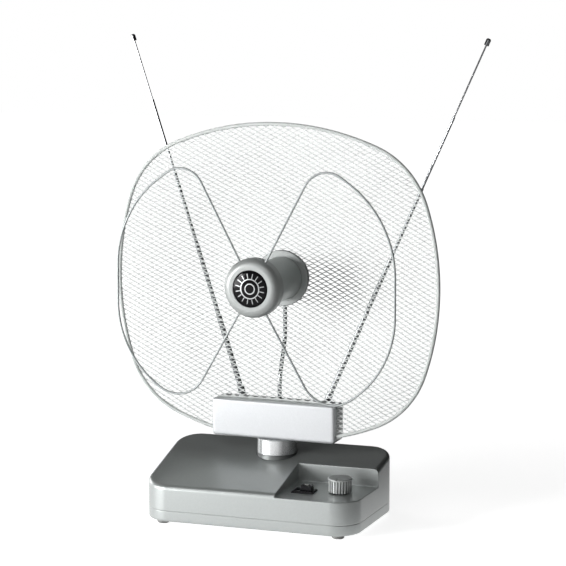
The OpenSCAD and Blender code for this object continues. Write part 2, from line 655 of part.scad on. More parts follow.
module hub_terminal() {
    color(pale) on_hub() translate([0, 0, -cap_y - cap_len + 3.2]) difference() {
        cylinder(h = 6.6, r = hub_d / 2 - 3);
        translate([0, 0, -1]) cylinder(h = 12, r = 3);
        for (q = [0:3]) loop_end(q, loop_d / 2 + 0.02, 4.8);
    }
}
module loop_end(q, r, z) {
    sx = q < 2 ? 1 : -1;
    sy = q % 2 == 0 ? 1 : -1;
    p = sy > 0 ? loop_path()[0] : loop_path()[5];
    n = sy > 0 ? loop_path()[1] : loop_path()[4];
    a = atan2(n[1] - p[1], n[0] - p[0]);
    mirror([sx > 0 ? 0 : 1, 0, 0]) translate([p[0], p[1], z]) rotate([0, 0, a]) rotate([0, 90, 0])
        translate([0, 0, -0.3]) cylinder(h = 30, r = r);
}
module front_cap() {
    r = cap_d / 2;
    color(silver) on_hub() translate([0, 0, -cap_y - cap_len]) difference() {
        rotate_extrude() difference() {
            union() {
                square([r - 0.8, 2]);
                translate([0, 1]) square([r, cap_len - cap_edge - 1]);
                square([r - cap_edge, cap_len]);
                translate([r - cap_edge, cap_len - cap_edge]) circle(r = cap_edge);
            }
            translate([-20, -20]) square([20, 60]);
        }
        translate([0, 0, -1]) cylinder(h = 4.02, r = hub_d / 2 + 0.02);
        translate([0, 0, 2]) cylinder(h = cap_len - 4.5, r = hub_d / 2 - 2.5);
        translate([0, 0, cap_len - 1.5]) cylinder(h = 5, r = badge_d / 2 + 0.1);
        for (q = [0:3]) loop_end(q, loop_d / 2 + 0.02, 8);
    }
}
module badge() {
    r = badge_d / 2;
    color(black) on_hub() translate([0, 0, -cap_y - 1.5]) difference() {
        union() {
            cylinder(h = 1.1, r = r);
            for (k = [0:15]) rotate([0, 0, 22.5 * k]) translate([r * 0.60, -0.5, 0]) cube([r * 0.24, 1, 1.4]);
            difference() {
                cylinder(h = 1.4, r = r * 0.56);
                translate([0, 0, -1]) cylinder(h = 4, r = r * 0.50);
            }
            difference() {
                cylinder(h = 1.4, r = r * 0.32);
                translate([0, 0, -1]) cylinder(h = 4, r = r * 0.25);
            }
            difference() {
                cylinder(h = 1.4, r = r);
                translate([0, 0, -1]) cylinder(h = 4, r = r * 0.93);
            }
        }
        translate([0, 0, 0.9]) cylinder(h = 3, r = 1.6);
    }
}
module hub_screw() {
    color(steel) on_hub() translate([0, 0, -mesh_y - mesh_t - rear_cap_t + 1.7]) difference() {
        union() {
            translate([0, 0, -1.6]) cylinder(h = 1.5, r = 3.4);
            translate([0, 0, -0.2]) cylinder(h = 20, r = 1.75);
        }
        translate([-0.5, -3, -2]) cube([1, 6, 1]);
        translate([-3, -0.5, -2]) cube([6, 1, 1]);
    }
}

// Reflector
function half_rim() = concat(
    arc_points([0, -rim_ct[1]], rim_rt, -rim_end, -rim_at, 2),
    slice(arc_points([rim_c[0], -rim_c[1]], rim_rc, -rim_at, -rim_as, 8)),
    slice(arc_points(rim_cs, rim_rs, -rim_as, rim_as, 8)),
    slice(arc_points(rim_c, rim_rc, rim_as, rim_at, 8)),
    slice(arc_points(rim_ct, rim_rt, rim_at, 90, 5)));
function slice(q) = [for (k = [1:len(q) - 1]) q[k]];
function other_half(q) = [for (k = [len(q) - 2:-1:0]) [[-q[k][0][0], q[k][0][1]], -q[k][1]]];
module reflector_rim() {
    color(silver) on_hub() translate([0, -rim_drop, -rim_y])
        bar(concat(half_rim(), other_half(half_rim())), rim_d, 10);
}
module bowl(t) {
    n = 6;
    rr = [for (k = [0:n]) k == 0 ? 0 : bowl_r0 + bowl_r1 * (k - 1) / (n - 1)];
    far = rim_a + rim_b;
    rotate_extrude($fn = 44) polygon(concat(
        [for (r = rr) [r, bowl_z(r)]], [[far, -rim_y]], [[far, -rim_y - t]],
        [for (k = [n:-1:0]) [rr[k], bowl_z(rr[k]) - t]]));
}
function inside(x, y) = pow(abs(x) / (rim_a - 5), 2.9) + pow(abs(y + rim_drop) / (rim_b - 5), 2.9) < 1;
module mesh_plan() {
    hw = cell_w / 2 - strand;
    hh = cell_h / 2 - strand * cell_h / cell_w;
    nx = ceil(rim_a / cell_w) + 1;
    ny = ceil(2 * rim_b / cell_h) + 1;
    difference() {
        translate([0, -rim_drop]) polygon(rim_outline(rim_d / 2 + 0.1));
        intersection() {
            union() for (j = [-ny:ny]) for (i = [-nx:nx])
                let (x = i * cell_w + (j % 2 == 0 ? 0 : cell_w / 2), y = j * cell_h / 2)
                if (inside(x, y) && norm([x, y]) > 28)
                    translate([x, y]) hull() {
                        for (k = [-1, 1]) translate([k * (hw - 0.6), 0]) circle(r = 0.6, $fn = 4);
                        for (k = [-1, 1]) translate([0, k * (hh - 0.6)]) circle(r = 0.6, $fn = 4);
                    }
            difference() {
                translate([0, -rim_drop]) polygon(rim_outline(rim_d / 2 + 2.4));
                circle(r = flange_d / 2 + 2);
                translate([-box_w / 2 - 2.6, -hub_rise - 20]) square([box_w + 5.2, 22.6 + box_h]);
            }
        }
        circle(r = 3);
        translate([-box_w / 2 - 0.3, -hub_rise - 20]) square([box_w + 0.6, 20.3 + box_h]);
    }
}
module reflector_mesh() {
    color(pale) on_hub() intersection() {
        bowl(mesh_t);
        translate([0, 0, -60]) linear_extrude(height = 120) mesh_plan();
    }
}

// Wire loops
function loop_path() = [[6.7, 13], [loop_reach * 0.468, loop_top], [loop_reach, loop_top * 0.564],
    [loop_reach + 0.7, -loop_top * 0.582], [loop_reach * 0.492, -loop_top * 0.98], [6.6, -12.2]];
module loop(s) {
    color(steel) on_hub() translate([0, 0, -cap_y - cap_len + 8]) mirror([s > 0 ? 0 : 1, 0, 0])
        bar(wire_points(loop_path(), [22, 94, 86, 28], 10), loop_d, 8);
}

// Whips
module knuckle(s, lean) {
    color(chrome) in_whip(s, lean) difference() {
        union() {
            translate([0, knuckle_t / 2, 0]) rotate([90, 0, 0]) cylinder(h = knuckle_t, r = 5.2);
            cylinder(h = tube_z + 6, r = 3.3);
        }
        translate([0, knuckle_t, 0]) rotate([90, 0, 0]) cylinder(h = 2 * knuckle_t, r = 1.65);
        for (k = [-1, 1]) translate([-8, k > 0 ? knuckle_t / 2 : -knuckle_t / 2 - 4, -8]) cube([16, 4, 14]);
        translate([0, 0, tube_z]) cylinder(h = 20, r = whip_d / 2 + 0.02);
    }
}
module hinge_screw(s) {
    color(steel) in_head() translate([s * whip_x, whip_y, pivot_z]) rotate([90, 0, 0]) difference() {
        union() {
            translate([0, 0, -knuckle_t / 2 - 2.3]) cylinder(h = 2, r = 3.6);
            translate([0, 0, -knuckle_t / 2 - 1]) cylinder(h = 17, r = 1.6);
        }
        translate([-0.6, -5, -knuckle_t / 2 - 3]) cube([1.2, 10, 1.6]);
    }
}
function out_r(k) = whip_d / 2 - step * (k - 1);
// Start of a section along its whip
function start_z(k) = tube_z + 0.1 + (k - 1) * (section_len - overlap) - (k > 1 ? 3 : 0);
module section(s, lean, k, short) {
    r = out_r(k);
    l = k == 1 ? tube_len : section_len;
    color(chrome) in_whip(s, lean) translate([0, 0, start_z(k) - short]) difference() {
        union() {
            cylinder(h = l, r = r);
            if (k > 1) cylinder(h = 2, r = r + step - tube_wall - 0.05);
        }
        translate([0, 0, k == 1 ? 1.5 : -1]) cylinder(h = l + (k == 1 ? -3 : -0.5), r = r - tube_wall);
        translate([0, 0, 5]) cylinder(h = l, r = r - step + 0.05);
    }
}
module rod(s, lean, short) {
    r = out_r(5);
    color(chrome) in_whip(s, lean) translate([0, 0, start_z(5) - short]) {
        cylinder(h = section_len, r = r);
        cylinder(h = 2, r = r + step - tube_wall - 0.05);
        translate([0, 0, section_len - 0.5]) cylinder(h = tip_h - 1, r = tip_d / 2);
        translate([0, 0, section_len + tip_h - 1.5]) cylinder(h = 1, r1 = tip_d / 2, r2 = tip_d / 2 - 0.8);
    }
}

base_tray();
base_cover();
foot(0);  // foot_front_left
foot(1);  // foot_front_right
foot(2);  // foot_rear_left
foot(3);  // foot_rear_right
base_screw(-1, -1);  // base_screw_front_left
base_screw(1, -1);  // base_screw_front_right
base_screw(-1, 1);  // base_screw_rear_left
base_screw(1, 1);  // base_screw_rear_right
amplifier_board();
gain_pot();
gain_shaft();
gain_knob();
switch_body();
switch_frame();
switch_slider();
coax_socket();
coax_pin();
power_socket();
neck();
neck_ring();
neck_screw(-1);  // neck_screw_left
neck_screw(1);  // neck_screw_right
box_front();
box_rear();
box_screw(-1);  // box_screw_left
box_screw(1);  // box_screw_right
matching_board();
support_post();
hub_rear_cap();
hub_flange();
hub_body();
hub_terminal();
front_cap();
badge();
hub_screw();
reflector_rim();
reflector_mesh();
loop(-1);  // left_loop
loop(1);  // right_loop
knuckle(-1, left_lean);  // left_knuckle
hinge_screw(-1);  // left_hinge_screw
section(-1, left_lean, 1, 0);  // left_tube
section(-1, left_lean, 2, 0);  // left_section_2
section(-1, left_lean, 3, 0);  // left_section_3
section(-1, left_lean, 4, 0);  // left_section_4
rod(-1, left_lean, left_short);  // left_rod
knuckle(1, right_lean);  // right_knuckle
hinge_screw(1);  // right_hinge_screw
section(1, right_lean, 1, 0);  // right_tube
section(1, right_lean, 2, 0);  // right_section_2
section(1, right_lean, 3, 0);  // right_section_3
section(1, right_lean, 4, 0);  // right_section_4
rod(1, right_lean, right_short);  // right_rod
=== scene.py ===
"""Indoor television antenna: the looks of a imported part, built round its fixed frame."""

import math

import bmesh
import bpy
from mathutils import Matrix, Vector


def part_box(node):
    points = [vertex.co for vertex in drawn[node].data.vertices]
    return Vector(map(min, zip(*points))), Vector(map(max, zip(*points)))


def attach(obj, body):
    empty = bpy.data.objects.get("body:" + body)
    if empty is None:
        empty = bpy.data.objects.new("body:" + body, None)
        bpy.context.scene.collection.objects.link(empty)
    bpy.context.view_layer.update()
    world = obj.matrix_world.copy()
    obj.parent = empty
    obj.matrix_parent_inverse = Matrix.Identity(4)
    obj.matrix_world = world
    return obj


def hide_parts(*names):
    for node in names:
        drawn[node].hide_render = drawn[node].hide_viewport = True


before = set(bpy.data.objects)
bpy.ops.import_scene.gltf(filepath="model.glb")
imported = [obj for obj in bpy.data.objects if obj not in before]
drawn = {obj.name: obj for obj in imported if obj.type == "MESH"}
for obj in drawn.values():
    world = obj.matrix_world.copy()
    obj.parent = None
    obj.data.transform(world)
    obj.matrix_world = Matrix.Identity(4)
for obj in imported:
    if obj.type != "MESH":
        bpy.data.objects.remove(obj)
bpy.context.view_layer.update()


# Base housing: two shells of moulded ABS, sprayed with silver paint.
# The cover drops over the tray and is held by four screws from below.
# Fine flake and a faint orange peel show, and painted shade makes a dark line round the neck.
class Value:
    """The output of a node, which takes part in plain sums."""

    def __init__(self, tree, socket):
        self.tree, self.socket = tree, socket

    def __add__(self, other):
        return self.tree.sum("ADD", self, other)

    def __radd__(self, other):
        return self.tree.sum("ADD", other, self)

    def __sub__(self, other):
        return self.tree.sum("SUBTRACT", self, other)

    def __rsub__(self, other):
        return self.tree.sum("SUBTRACT", other, self)

    def __mul__(self, other):
        return self.tree.sum("MULTIPLY", self, other)

    def __rmul__(self, other):
        return self.tree.sum("MULTIPLY", other, self)

    def __truediv__(self, other):
        return self.tree.sum("DIVIDE", self, other)

    def __rtruediv__(self, other):
        return self.tree.sum("DIVIDE", other, self)

    def __pow__(self, other):
        return self.tree.sum("POWER", self, other)

    def __mod__(self, other):
        return self.tree.sum("FLOORED_MODULO", self, other)

    def __gt__(self, other):
        return self.tree.sum("GREATER_THAN", self, other)

    def __lt__(self, other):
        return self.tree.sum("LESS_THAN", self, other)

    def __abs__(self):
        return self.tree.sum("ABSOLUTE", self)


class Tree:
    """A node tree that is filled one node at a time."""

    def __init__(self, group):
        self.group = group

    def node(self, kind, settings=None, sockets=None, out=0):
        made = self.group.nodes.new(kind)
        for name, setting in (settings or {}).items():
            setattr(made, name, setting)
        for name, value in (sockets or {}).items():
            if isinstance(value, Value):
                self.group.links.new(value.socket, made.inputs[name])
            else:
                made.inputs[name].default_value = value
        return Value(self, made.outputs[out])

    def sum(self, operation, *terms):
        return self.node("ShaderNodeMath", {"operation": operation}, dict(enumerate(terms)))

    def parts(self, vector):
        """The X, Y and Z of a vector."""
        split = self.node("ShaderNodeSeparateXYZ", {}, {0: vector})
        return [Value(self, socket) for socket in split.socket.node.outputs]

    def rays(self):
        """Three switches: seen by the camera, seen in a gloss, seen through a clear body."""
        path = self.node("ShaderNodeLightPath").socket.node.outputs
        return [Value(self, path[f"Is {kind} Ray"]) for kind in ("Camera", "Glossy", "Transmission")]


class Finish(Tree):
    """A material: its plain sockets are set here, and what varies is fed in."""

    def __init__(self, name, colour, rough, metal=0.0, **sockets):
        self.material = bpy.data.materials.new(name)
        self.material.use_nodes = True
        super().__init__(self.material.node_tree)
        self.shader = self.group.nodes["Principled BSDF"]
        self.material.diffuse_color = (*colour, 1)
        plain = {"Base Color": (*colour, 1), "Roughness": rough, "Metallic": metal}
        plain.update({key.replace("_", " "): value for key, value in sockets.items()})
        for key, value in plain.items():
            self.shader.inputs[key].default_value = value
        self.place = self.node("ShaderNodeTexCoord", out=3)

    def feed(self, **sockets):
        for key, value in sockets.items():
            self.group.links.new(value.socket, self.shader.inputs[key.replace("_", " ")])
        return self

    def noise(self, scale, detail=2.0):
        return self.node("ShaderNodeTexNoise", {"noise_dimensions": "3D"},
                         {"Vector": self.place, "Scale": scale, "Detail": detail, "Roughness": 0.5})

    def mix(self, share, first, second):
        """From the first colour to the second, as the share goes from 0 to 1."""
        return self.node("ShaderNodeMix", {"data_type": "RGBA"},
                         {0: share, 6: first if isinstance(first, Value) else (*first, 1),
                          7: second if isinstance(second, Value) else (*second, 1)}, out=2)

    def between(self, value, low, high):
        """0 at low, 1 at high, and even in between."""
        return self.node("ShaderNodeMapRange", {"clamp": True},
                         {"Value": value, "From Min": low, "From Max": high, "To Min": 0.0, "To Max": 1.0})

    def bumps(self, height, depth, strength=1.0, rounding=0.0):
        """A normal with relief, and with its sharp edges rounded where asked."""
        sockets = {"Height": height, "Distance": depth, "Strength": strength}
        if rounding:
            sockets["Normal"] = self.node("ShaderNodeBevel", {"samples": 6}, {"Radius": rounding})
        return self.node("ShaderNodeBump", {}, sockets)


def silver_paint(name, colour, rough, rounding, metal, painted_shade=None):
    """Silver lacquer over plastic: fine flake and orange peel, and painted shade darkens it where asked."""
    paint = Finish(name, colour, rough, metal, Coat_Weight=0.3, Coat_Roughness=0.12)
    flake, grain = paint.noise(5200, 1.0), paint.noise(620, 1.0)
    peel, cloud = paint.noise(900, 2.0), paint.noise(38, 3.0)
    glint = paint.between(flake, 0.42, 0.70)
    dull, bright, shaded_tone = (tuple(c * share for c in colour) for share in (0.92, 1.08, 0.25))
    tone = paint.mix(glint * 0.6 + cloud * 0.2 + paint.between(grain, 0.3, 0.7) * 0.2, dull, bright)
    # Painted shade: where the mask asks, the tone goes towards a quarter of its colour.
    if painted_shade:
        tone = paint.mix(painted_shade(paint), tone, shaded_tone)
    paint.feed(Base_Color=tone, Roughness=rough + (cloud - 0.5) * 0.03 - glint * 0.04,
               Normal=paint.bumps(peel * 0.7 + flake * 0.3, 0.00003, 0.12, rounding))
    return paint.material


def dress(finish, *nodes):
    """Gives drawn solids their material."""
    for name in nodes:
        slots = drawn[name].data.materials
        slots.clear()
        slots.append(finish)


def placed(name, thing):
    """A new object, put into the scene at the origin."""
    made = bpy.data.objects.new(name, thing)
    bpy.context.scene.collection.objects.link(made)
    return made


def shade(work, angle):
    """Shades faces smooth, except over edges that are sharper than the angle."""
    for face in work.faces:
        face.smooth = True
    for edge in work.edges:
        edge.smooth = len(edge.link_faces) == 2 and edge.calc_face_angle(0) < math.radians(angle)


def refine(node, name, finish, angle=35):
    """A copy of a drawn shell with its loose triangles joined and its curves shaded smooth."""
    mesh = drawn[node].data.copy()
    mesh.materials.clear()
    mesh.materials.append(finish)
    work = bmesh.new()
    work.from_mesh(mesh)
    bmesh.ops.remove_doubles(work, verts=work.verts, dist=2e-6)
    for face in work.faces:
        face.material_index = 0
    shade(work, angle)
    work.to_mesh(mesh)
    work.free()
    piece = placed(name, mesh)
    even = piece.modifiers.new("even", "WEIGHTED_NORMAL")
    even.keep_sharp = True
    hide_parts(node)
    return piece


def from_axis(paint, middle):
    """How far a place is from an upright axis, and how high over the middle."""
    off = paint.node("ShaderNodeVectorMath", {"operation": "SUBTRACT"}, {0: paint.place, 1: middle})
    east, north, height = paint.parts(off)
    return (east * east + north * north) ** 0.5, height


def shade_round_the_neck(paint):
    """Painted shade in the gap round the neck and on its brim."""
    clean, dark = neck_radius + 0.0012, neck_radius + 0.0004
    return paint.between(from_axis(paint, neck_axis)[0], clean, dark) * 0.8


neck_low, neck_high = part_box("neck")
neck_axis = (neck_low + neck_high) / 2
neck_radius = (neck_high.x - neck_low.x) / 2
base_silver = silver_paint("base_silver", (0.40, 0.421, 0.416), 0.40, rounding=0.0014, metal=0.72,
                           painted_shade=shade_round_the_neck)
for node, name in (("base_cover", "base_cover_shell"), ("base_tray", "base_tray_shell")):
    shell = refine(node, name, base_silver)
    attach(shell, "base")

# Four feet of pressed grey rubber, glued into dishes in the tray.
# They are matt, a touch lighter where they rub on the table.
rubber = Finish("grey_rubber", (0.30, 0.30, 0.30), 0.8, Specular_IOR_Level=0.3)
grain = rubber.noise(1600, 3.0)
rubber.feed(Base_Color=rubber.mix(rubber.noise(240, 2.0), (0.24, 0.24, 0.24), (0.36, 0.36, 0.35)),
            Roughness=grain * 0.2 + 0.68, Normal=rubber.bumps(grain, 0.00005, 0.5))
dress(rubber.material, "foot_front_left", "foot_front_right", "foot_rear_left", "foot_rear_right")

# Screws of zinc-plated steel, driven from below the base, behind the box
# and in the hub, and the other plated parts inside. The plating is uneven.
zinc = Finish("zinc_steel", (0.56, 0.57, 0.58), 0.32, 1.0)
stain = zinc.noise(420, 3.0)
zinc.feed(Base_Color=zinc.mix(stain, (0.50, 0.51, 0.53), (0.66, 0.66, 0.65)),
          Roughness=stain * 0.22 + 0.22, Normal=zinc.bumps(zinc.noise(2600, 1.0), 0.00002, 0.4))
dress(zinc.material, "base_screw_front_left", "base_screw_front_right", "base_screw_rear_left",
      "base_screw_rear_right", "neck_screw_left", "neck_screw_right", "box_screw_left",
      "box_screw_right", "hub_screw", "left_hinge_screw", "right_hinge_screw", "neck_ring",
      "gain_pot", "gain_shaft", "switch_body")

# Amplifier board in the base and matching board in the head: glass-epoxy
# laminate with green solder mask over copper tracks, closed in for good.
mask = Finish("solder_mask", (0.02, 0.16, 0.07), 0.3, Coat_Weight=0.3)
tracks = mask.node("ShaderNodeTexBrick", {"offset": 0.5},
                   {"Vector": mask.place, "Scale": 210.0, "Mortar Size": 0.03,
                    "Color1": (0.02, 0.15, 0.07, 1), "Color2": (0.025, 0.2, 0.09, 1),
                    "Mortar": (0.05, 0.30, 0.12, 1)})
mask.feed(Base_Color=tracks, Roughness=mask.noise(300) * 0.2 + 0.22)
dress(mask.material, "amplifier_board", "matching_board")

# Gain knob: moulded in plastic and sprayed like the base, with grips round
# its side. The grooves between them are darkened with painted shade.
knob_low, knob_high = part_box("gain_knob")
knob_middle = (knob_low + knob_high) / 2
knob_crest, knob_groove, knob_brim = 0.0100, 0.0096, 0.0012


def shade_between_grips(paint):
    """Painted shade in the grooves of the knob's side, below its brim."""
    reach, height = from_axis(paint, knob_middle)
    below_brim = height < (knob_high.z - knob_low.z) / 2 - knob_brim
    return paint.between(reach, knob_crest, knob_groove) * below_brim * 0.8


knob_silver = silver_paint("knob_silver", (0.50, 0.52, 0.515), 0.33, rounding=0.0003, metal=0.5,
                           painted_shade=shade_between_grips)
knob = refine("gain_knob", "gain_knob_cap", knob_silver, angle=30)
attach(knob, "knob")

# Power switch: a black slider in a black snap-in frame, moulded in glossy
# plastic, with one pale mark on the slider for the on position.
gloss_black = Finish("gloss_black", (0.010, 0.010, 0.012), 0.2, Specular_IOR_Level=0.35)
gloss_black.feed(Roughness=gloss_black.noise(520, 3.0) * 0.18 + 0.16,
                 Normal=gloss_black.bumps(gloss_black.noise(1500), 0.00002, 0.3, 0.0003))
dress(gloss_black.material, "switch_frame", "switch_slider", "power_socket")
low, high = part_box("switch_slider")
mark_size = (0.0034, 0.0009, 0.0003)
mark_mesh = bpy.data.meshes.new("switch_mark")
work = bmesh.new()
bmesh.ops.create_cube(work, size=1.0)
bmesh.ops.scale(work, vec=mark_size, verts=work.verts)
bmesh.ops.translate(work, vec=((low.x + high.x) / 2, (low.y + high.y) / 2, high.z), verts=work.verts)
bmesh.ops.bevel(work, geom=work.edges[:], offset=0.0001, segments=2, affect="EDGES")
work.to_mesh(mark_mesh)
work.free()
mark = placed("switch_mark", mark_mesh)
pale_ink = Finish("pale_ink", (0.75, 0.75, 0.72), 0.5)
pale_ink.feed(Base_Color=pale_ink.mix(pale_ink.noise(2500), (0.62, 0.62, 0.60), (0.80, 0.80, 0.77)))
mark.data.materials.append(pale_ink.material)
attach(mark, "slider")

# Rear outlets: a plated coaxial outlet with its white insulator, and the
# black power inlet. The thread on the sleeve is cut, a ridge every turn.
plating = Finish("bright_plating", (0.70, 0.71, 0.73), 0.12, 1.0)
haze = plating.noise(160, 3.0)
plating.feed(Base_Color=plating.mix(haze, (0.60, 0.61, 0.63), (0.78, 0.79, 0.80)),
             Roughness=plating.between(haze, 0.3, 0.8) * 0.14 + 0.06,
             Normal=plating.bumps(plating.noise(1300, 2.0), 0.00001, 0.2))
insulator = Finish("white_insulator", (0.72, 0.72, 0.69), 0.45, Subsurface_Weight=0.1)
insulator.feed(Roughness=insulator.noise(700) * 0.2 + 0.35)
dress(plating.material, "coax_socket")
dress(insulator.material, "coax_pin", "hub_terminal")


def grown(name, curve, inputs, build, finish):
    """Runs a node tree on a curve or an empty mesh and keeps the plain mesh that it makes."""
    group = bpy.data.node_groups.new(name, "GeometryNodeTree")
    tree = Tree(group)
    for way in ("INPUT", "OUTPUT"):
        group.interface.new_socket("Geometry", in_out=way, socket_type="NodeSocketGeometry")
    inputs = {**inputs, "Material": finish}
    ids = {}
    for label, value in inputs.items():
        kind = "NodeSocket" + {int: "Int", float: "Float"}.get(type(value), "Material")
        ids[label] = group.interface.new_socket(label, in_out="INPUT", socket_type=kind).identifier
    source = group.nodes.new("NodeGroupInput")
    sockets = {s.name: Value(tree, s) for s in source.outputs if s.name}
    solid = build(tree, sockets)
    whole = tree.node("GeometryNodeRealizeInstances", {}, {"Geometry": solid})
    coated = tree.node("GeometryNodeSetMaterial", {}, {"Geometry": whole, "Material": sockets["Material"]})
    end = group.nodes.new("NodeGroupOutput")
    group.links.new(coated.socket, end.inputs[0])
    seed = placed(name + "_seed", curve or bpy.data.meshes.new(name + "_seed"))
    modifier = seed.modifiers.new(name, "NODES")
    modifier.node_group = group
    for label, value in inputs.items():
        modifier[ids[label]] = value
    state = bpy.context.evaluated_depsgraph_get()
    mesh = bpy.data.meshes.new_from_object(seed.evaluated_get(state), depsgraph=state)
    bpy.data.objects.remove(seed)
    mesh.name = name
    return placed(name, mesh)


def smooth_over(piece, angle=40):
    """Shades a finished piece smooth, and hands it back."""
    work = bmesh.new()
    work.from_mesh(piece.data)
    shade(work, angle)
    work.to_mesh(piece.data)
    work.free()
    return piece


def circle(tree, sides, radius):
    """A round or many-sided line, to be swept or to be a profile."""
    return tree.node("GeometryNodeCurvePrimitiveCircle", {"mode": "RADIUS"},
                     {"Resolution": sides, "Radius": radius})


def point(tree, x, y, z):
    """A place, from three numbers or values."""
    return tree.node("ShaderNodeCombineXYZ", {}, {0: x, 1: y, 2: z})


def thread_ridges(tree, inputs):
    """Rings in a row along Y, one for each turn of the thread."""
    row = tree.node("GeometryNodeMeshLine", {"mode": "OFFSET"}, {
        "Count": inputs["Turns"], "Offset": point(tree, 0.0, inputs["Pitch"], 0.0),
        "Start Location": point(tree, inputs["Across"], inputs["Start"], inputs["Height"])})
    ring = tree.node("GeometryNodeCurveToMesh", {}, {
        "Curve": circle(tree, 48, inputs["Radius"]), "Profile Curve": circle(tree, 6, inputs["Ridge"])})
    upright = tree.node("GeometryNodeTransform", {}, {"Geometry": ring, "Rotation": (math.pi / 2, 0, 0)})
    return tree.node("GeometryNodeInstanceOnPoints", {}, {"Points": row, "Instance": upright})


low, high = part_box("coax_socket")
pin_low, pin_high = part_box("coax_pin")
thread_length = 0.0085
sleeve = Vector(((pin_low.x + pin_high.x) / 2, high.y - thread_length, (pin_low.z + pin_high.z) / 2))
thread = smooth_over(grown("coax_thread", None, {
    "Turns": 10, "Across": sleeve.x, "Start": sleeve.y, "Height": sleeve.z,
    "Pitch": 0.0008, "Radius": 0.00462, "Ridge": 0.00022}, thread_ridges, plating.material))
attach(thread, "base")

# Swivel neck: a turned collar under the box, sprayed bright silver. It
# turns in the top of the base and carries the whole head.
neck_silver = silver_paint("neck_silver", (0.66, 0.67, 0.675), 0.28, rounding=0.0005, metal=0.8)
dress(neck_silver, "neck")

# Head box: a smooth front panel and a rear tub, clipped face to face and
# screwed from behind. The front is lighter, with a fine satin lacquer.
front_silver = silver_paint("front_silver", (0.585, 0.60, 0.615), 0.33, rounding=0.0016, metal=0.45)
box_silver = silver_paint("box_silver", (0.40, 0.42, 0.42), 0.34, rounding=0.0010, metal=0.6)
for node, name, paint, slot_name in (("box_front", "box_front_panel", front_silver, "pale_plastic"),
                                     ("box_rear", "box_rear_tub", box_silver, "silver_plastic")):
    half = refine(node, name, paint)
    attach(half, "head")

# Support post: a bent tube of chromed brass that rises from the rear tub
# and carries the hub, and steps back to reach its rear cap. All on the head
# is placed from the neck's axis and the hub's height, and turned a little.
low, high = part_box("front_cap")
hub_height = (low.z + high.z) / 2
head_turn = math.radians(-2.5)
head_place = Matrix.Translation((neck_axis.x, neck_axis.y, hub_height)) @ Matrix.Rotation(head_turn, 4, "Z")
chrome = Finish("chrome_tube", (0.28, 0.29, 0.30), 0.10, 1.0)
draw = chrome.noise(90, 4.0)
scuff = chrome.noise(700, 3.0)
chrome.feed(Base_Color=chrome.mix(draw, (0.22, 0.23, 0.24), (0.36, 0.37, 0.38)),
            Roughness=chrome.between(scuff, 0.45, 0.8) * 0.16 + 0.07,
            Normal=chrome.bumps(scuff, 0.00001, 0.25))


def route(points):
    """A smooth line through the head's own X, Y and Z, as a curve."""
    curve = bpy.data.curves.new("route", "CURVE")
    curve.dimensions = "3D"
    line = curve.splines.new("POLY")
    line.points.add(len(points) - 1)
    for dot, place in zip(line.points, points):
        dot.co = (*(head_place @ Vector(place)), 1)
    return curve


def rounded(corners, radii, steps=14):
    """Points along straight runs that are joined by arcs, all in one plane."""
    line = [Vector(corners[0])]
    for before, corner, after, radius in zip(corners, corners[1:], corners[2:], radii):
        corner = Vector(corner)
        to, on = (Vector(before) - corner).normalized(), (Vector(after) - corner).normalized()
        half = to.angle(on) / 2
        away = radius / math.tan(half)
        centre = corner + (to + on).normalized() * (radius / math.sin(half))
        start, finish = corner + to * away, corner + on * away
        a, b = start - centre, finish - centre
        sweep = a.angle(b)
        for k in range(steps + 1):
            t = k / steps
            reach = a * math.sin((1 - t) * sweep) + b * math.sin(t * sweep)
            line.append(centre + reach / math.sin(sweep))
    line.append(Vector(corners[-1]))
    return line


def round_bar(tree, inputs):
    """A round bar along the curve that comes in."""
    ring = circle(tree, inputs["Sides"], inputs["Radius"])
    return tree.node("GeometryNodeCurveToMesh", {},
                     {"Curve": inputs["Geometry"], "Profile Curve": ring, "Fill Caps": True})


low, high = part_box("support_post")
post_foot, post_top = low.z - hub_height, high.z - hub_height
box_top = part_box("box_rear")[1].z - hub_height
foot_back, top_back, first_bend, last_bend = 0.006, 0.0189, box_top + 0.018, box_top + 0.052
post_line = rounded([(0, foot_back, post_foot), (0, foot_back, first_bend),
                     (0, top_back, last_bend), (0, top_back, post_top)], [0.04, 0.04])
post = smooth_over(grown("support_post_tube", route(post_line), {"Sides": 24, "Radius": 0.002},
                         round_bar, chrome.material))
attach(post, "head")
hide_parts("support_post")

# Hub: a spool of grey plastic that clamps the mesh between its flange and
# its rear cap. The barrel is plain, the flange is sprayed like the base.
barrel_grey = silver_paint("barrel_grey", (0.40, 0.43, 0.42), 0.45, rounding=0.0006, metal=0.2)
hub_silver = silver_paint("hub_silver", (0.31, 0.325, 0.32), 0.45, rounding=0.0006, metal=0.30)
dress(barrel_grey, "hub_body", "hub_rear_cap")
dress(hub_silver, "hub_flange", "front_cap")

# Emblem: a domed disc of gloss black under clear resin, with plain silver
# rings and spokes printed on it. It is glued into the front cap.
badge_low, badge_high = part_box("badge")
badge_middle = Vector(((badge_low.x + badge_high.x) / 2, (badge_low.y + badge_high.y) / 2, hub_height))
badge_radius = (badge_high.z - badge_low.z) / 2
resin = Finish("emblem_resin", (0.003, 0.003, 0.0035), 0.06, Specular_IOR_Level=0.10)
flat = resin.node("ShaderNodeMapping", {"vector_type": "TEXTURE"},
                  {"Vector": resin.place, "Location": badge_middle, "Rotation": (0.0, 0.0, head_turn)})
across, _, up = resin.parts(flat)
reach = (across * across + up * up) ** 0.5 / badge_radius
turn = resin.sum("ARCTAN2", up, across) / (2 * math.pi)
outer_ring, inner_ring, ring_half = 0.52, 0.27, 0.028
spoke_count, spoke_half, spoke_middle, spoke_reach = 16.0, 0.05, 0.70, 0.13
rings = (abs(reach - outer_ring) < ring_half) + (abs(reach - inner_ring) < ring_half)
spoke = abs((turn * spoke_count) % 1.0 - 0.5) * reach
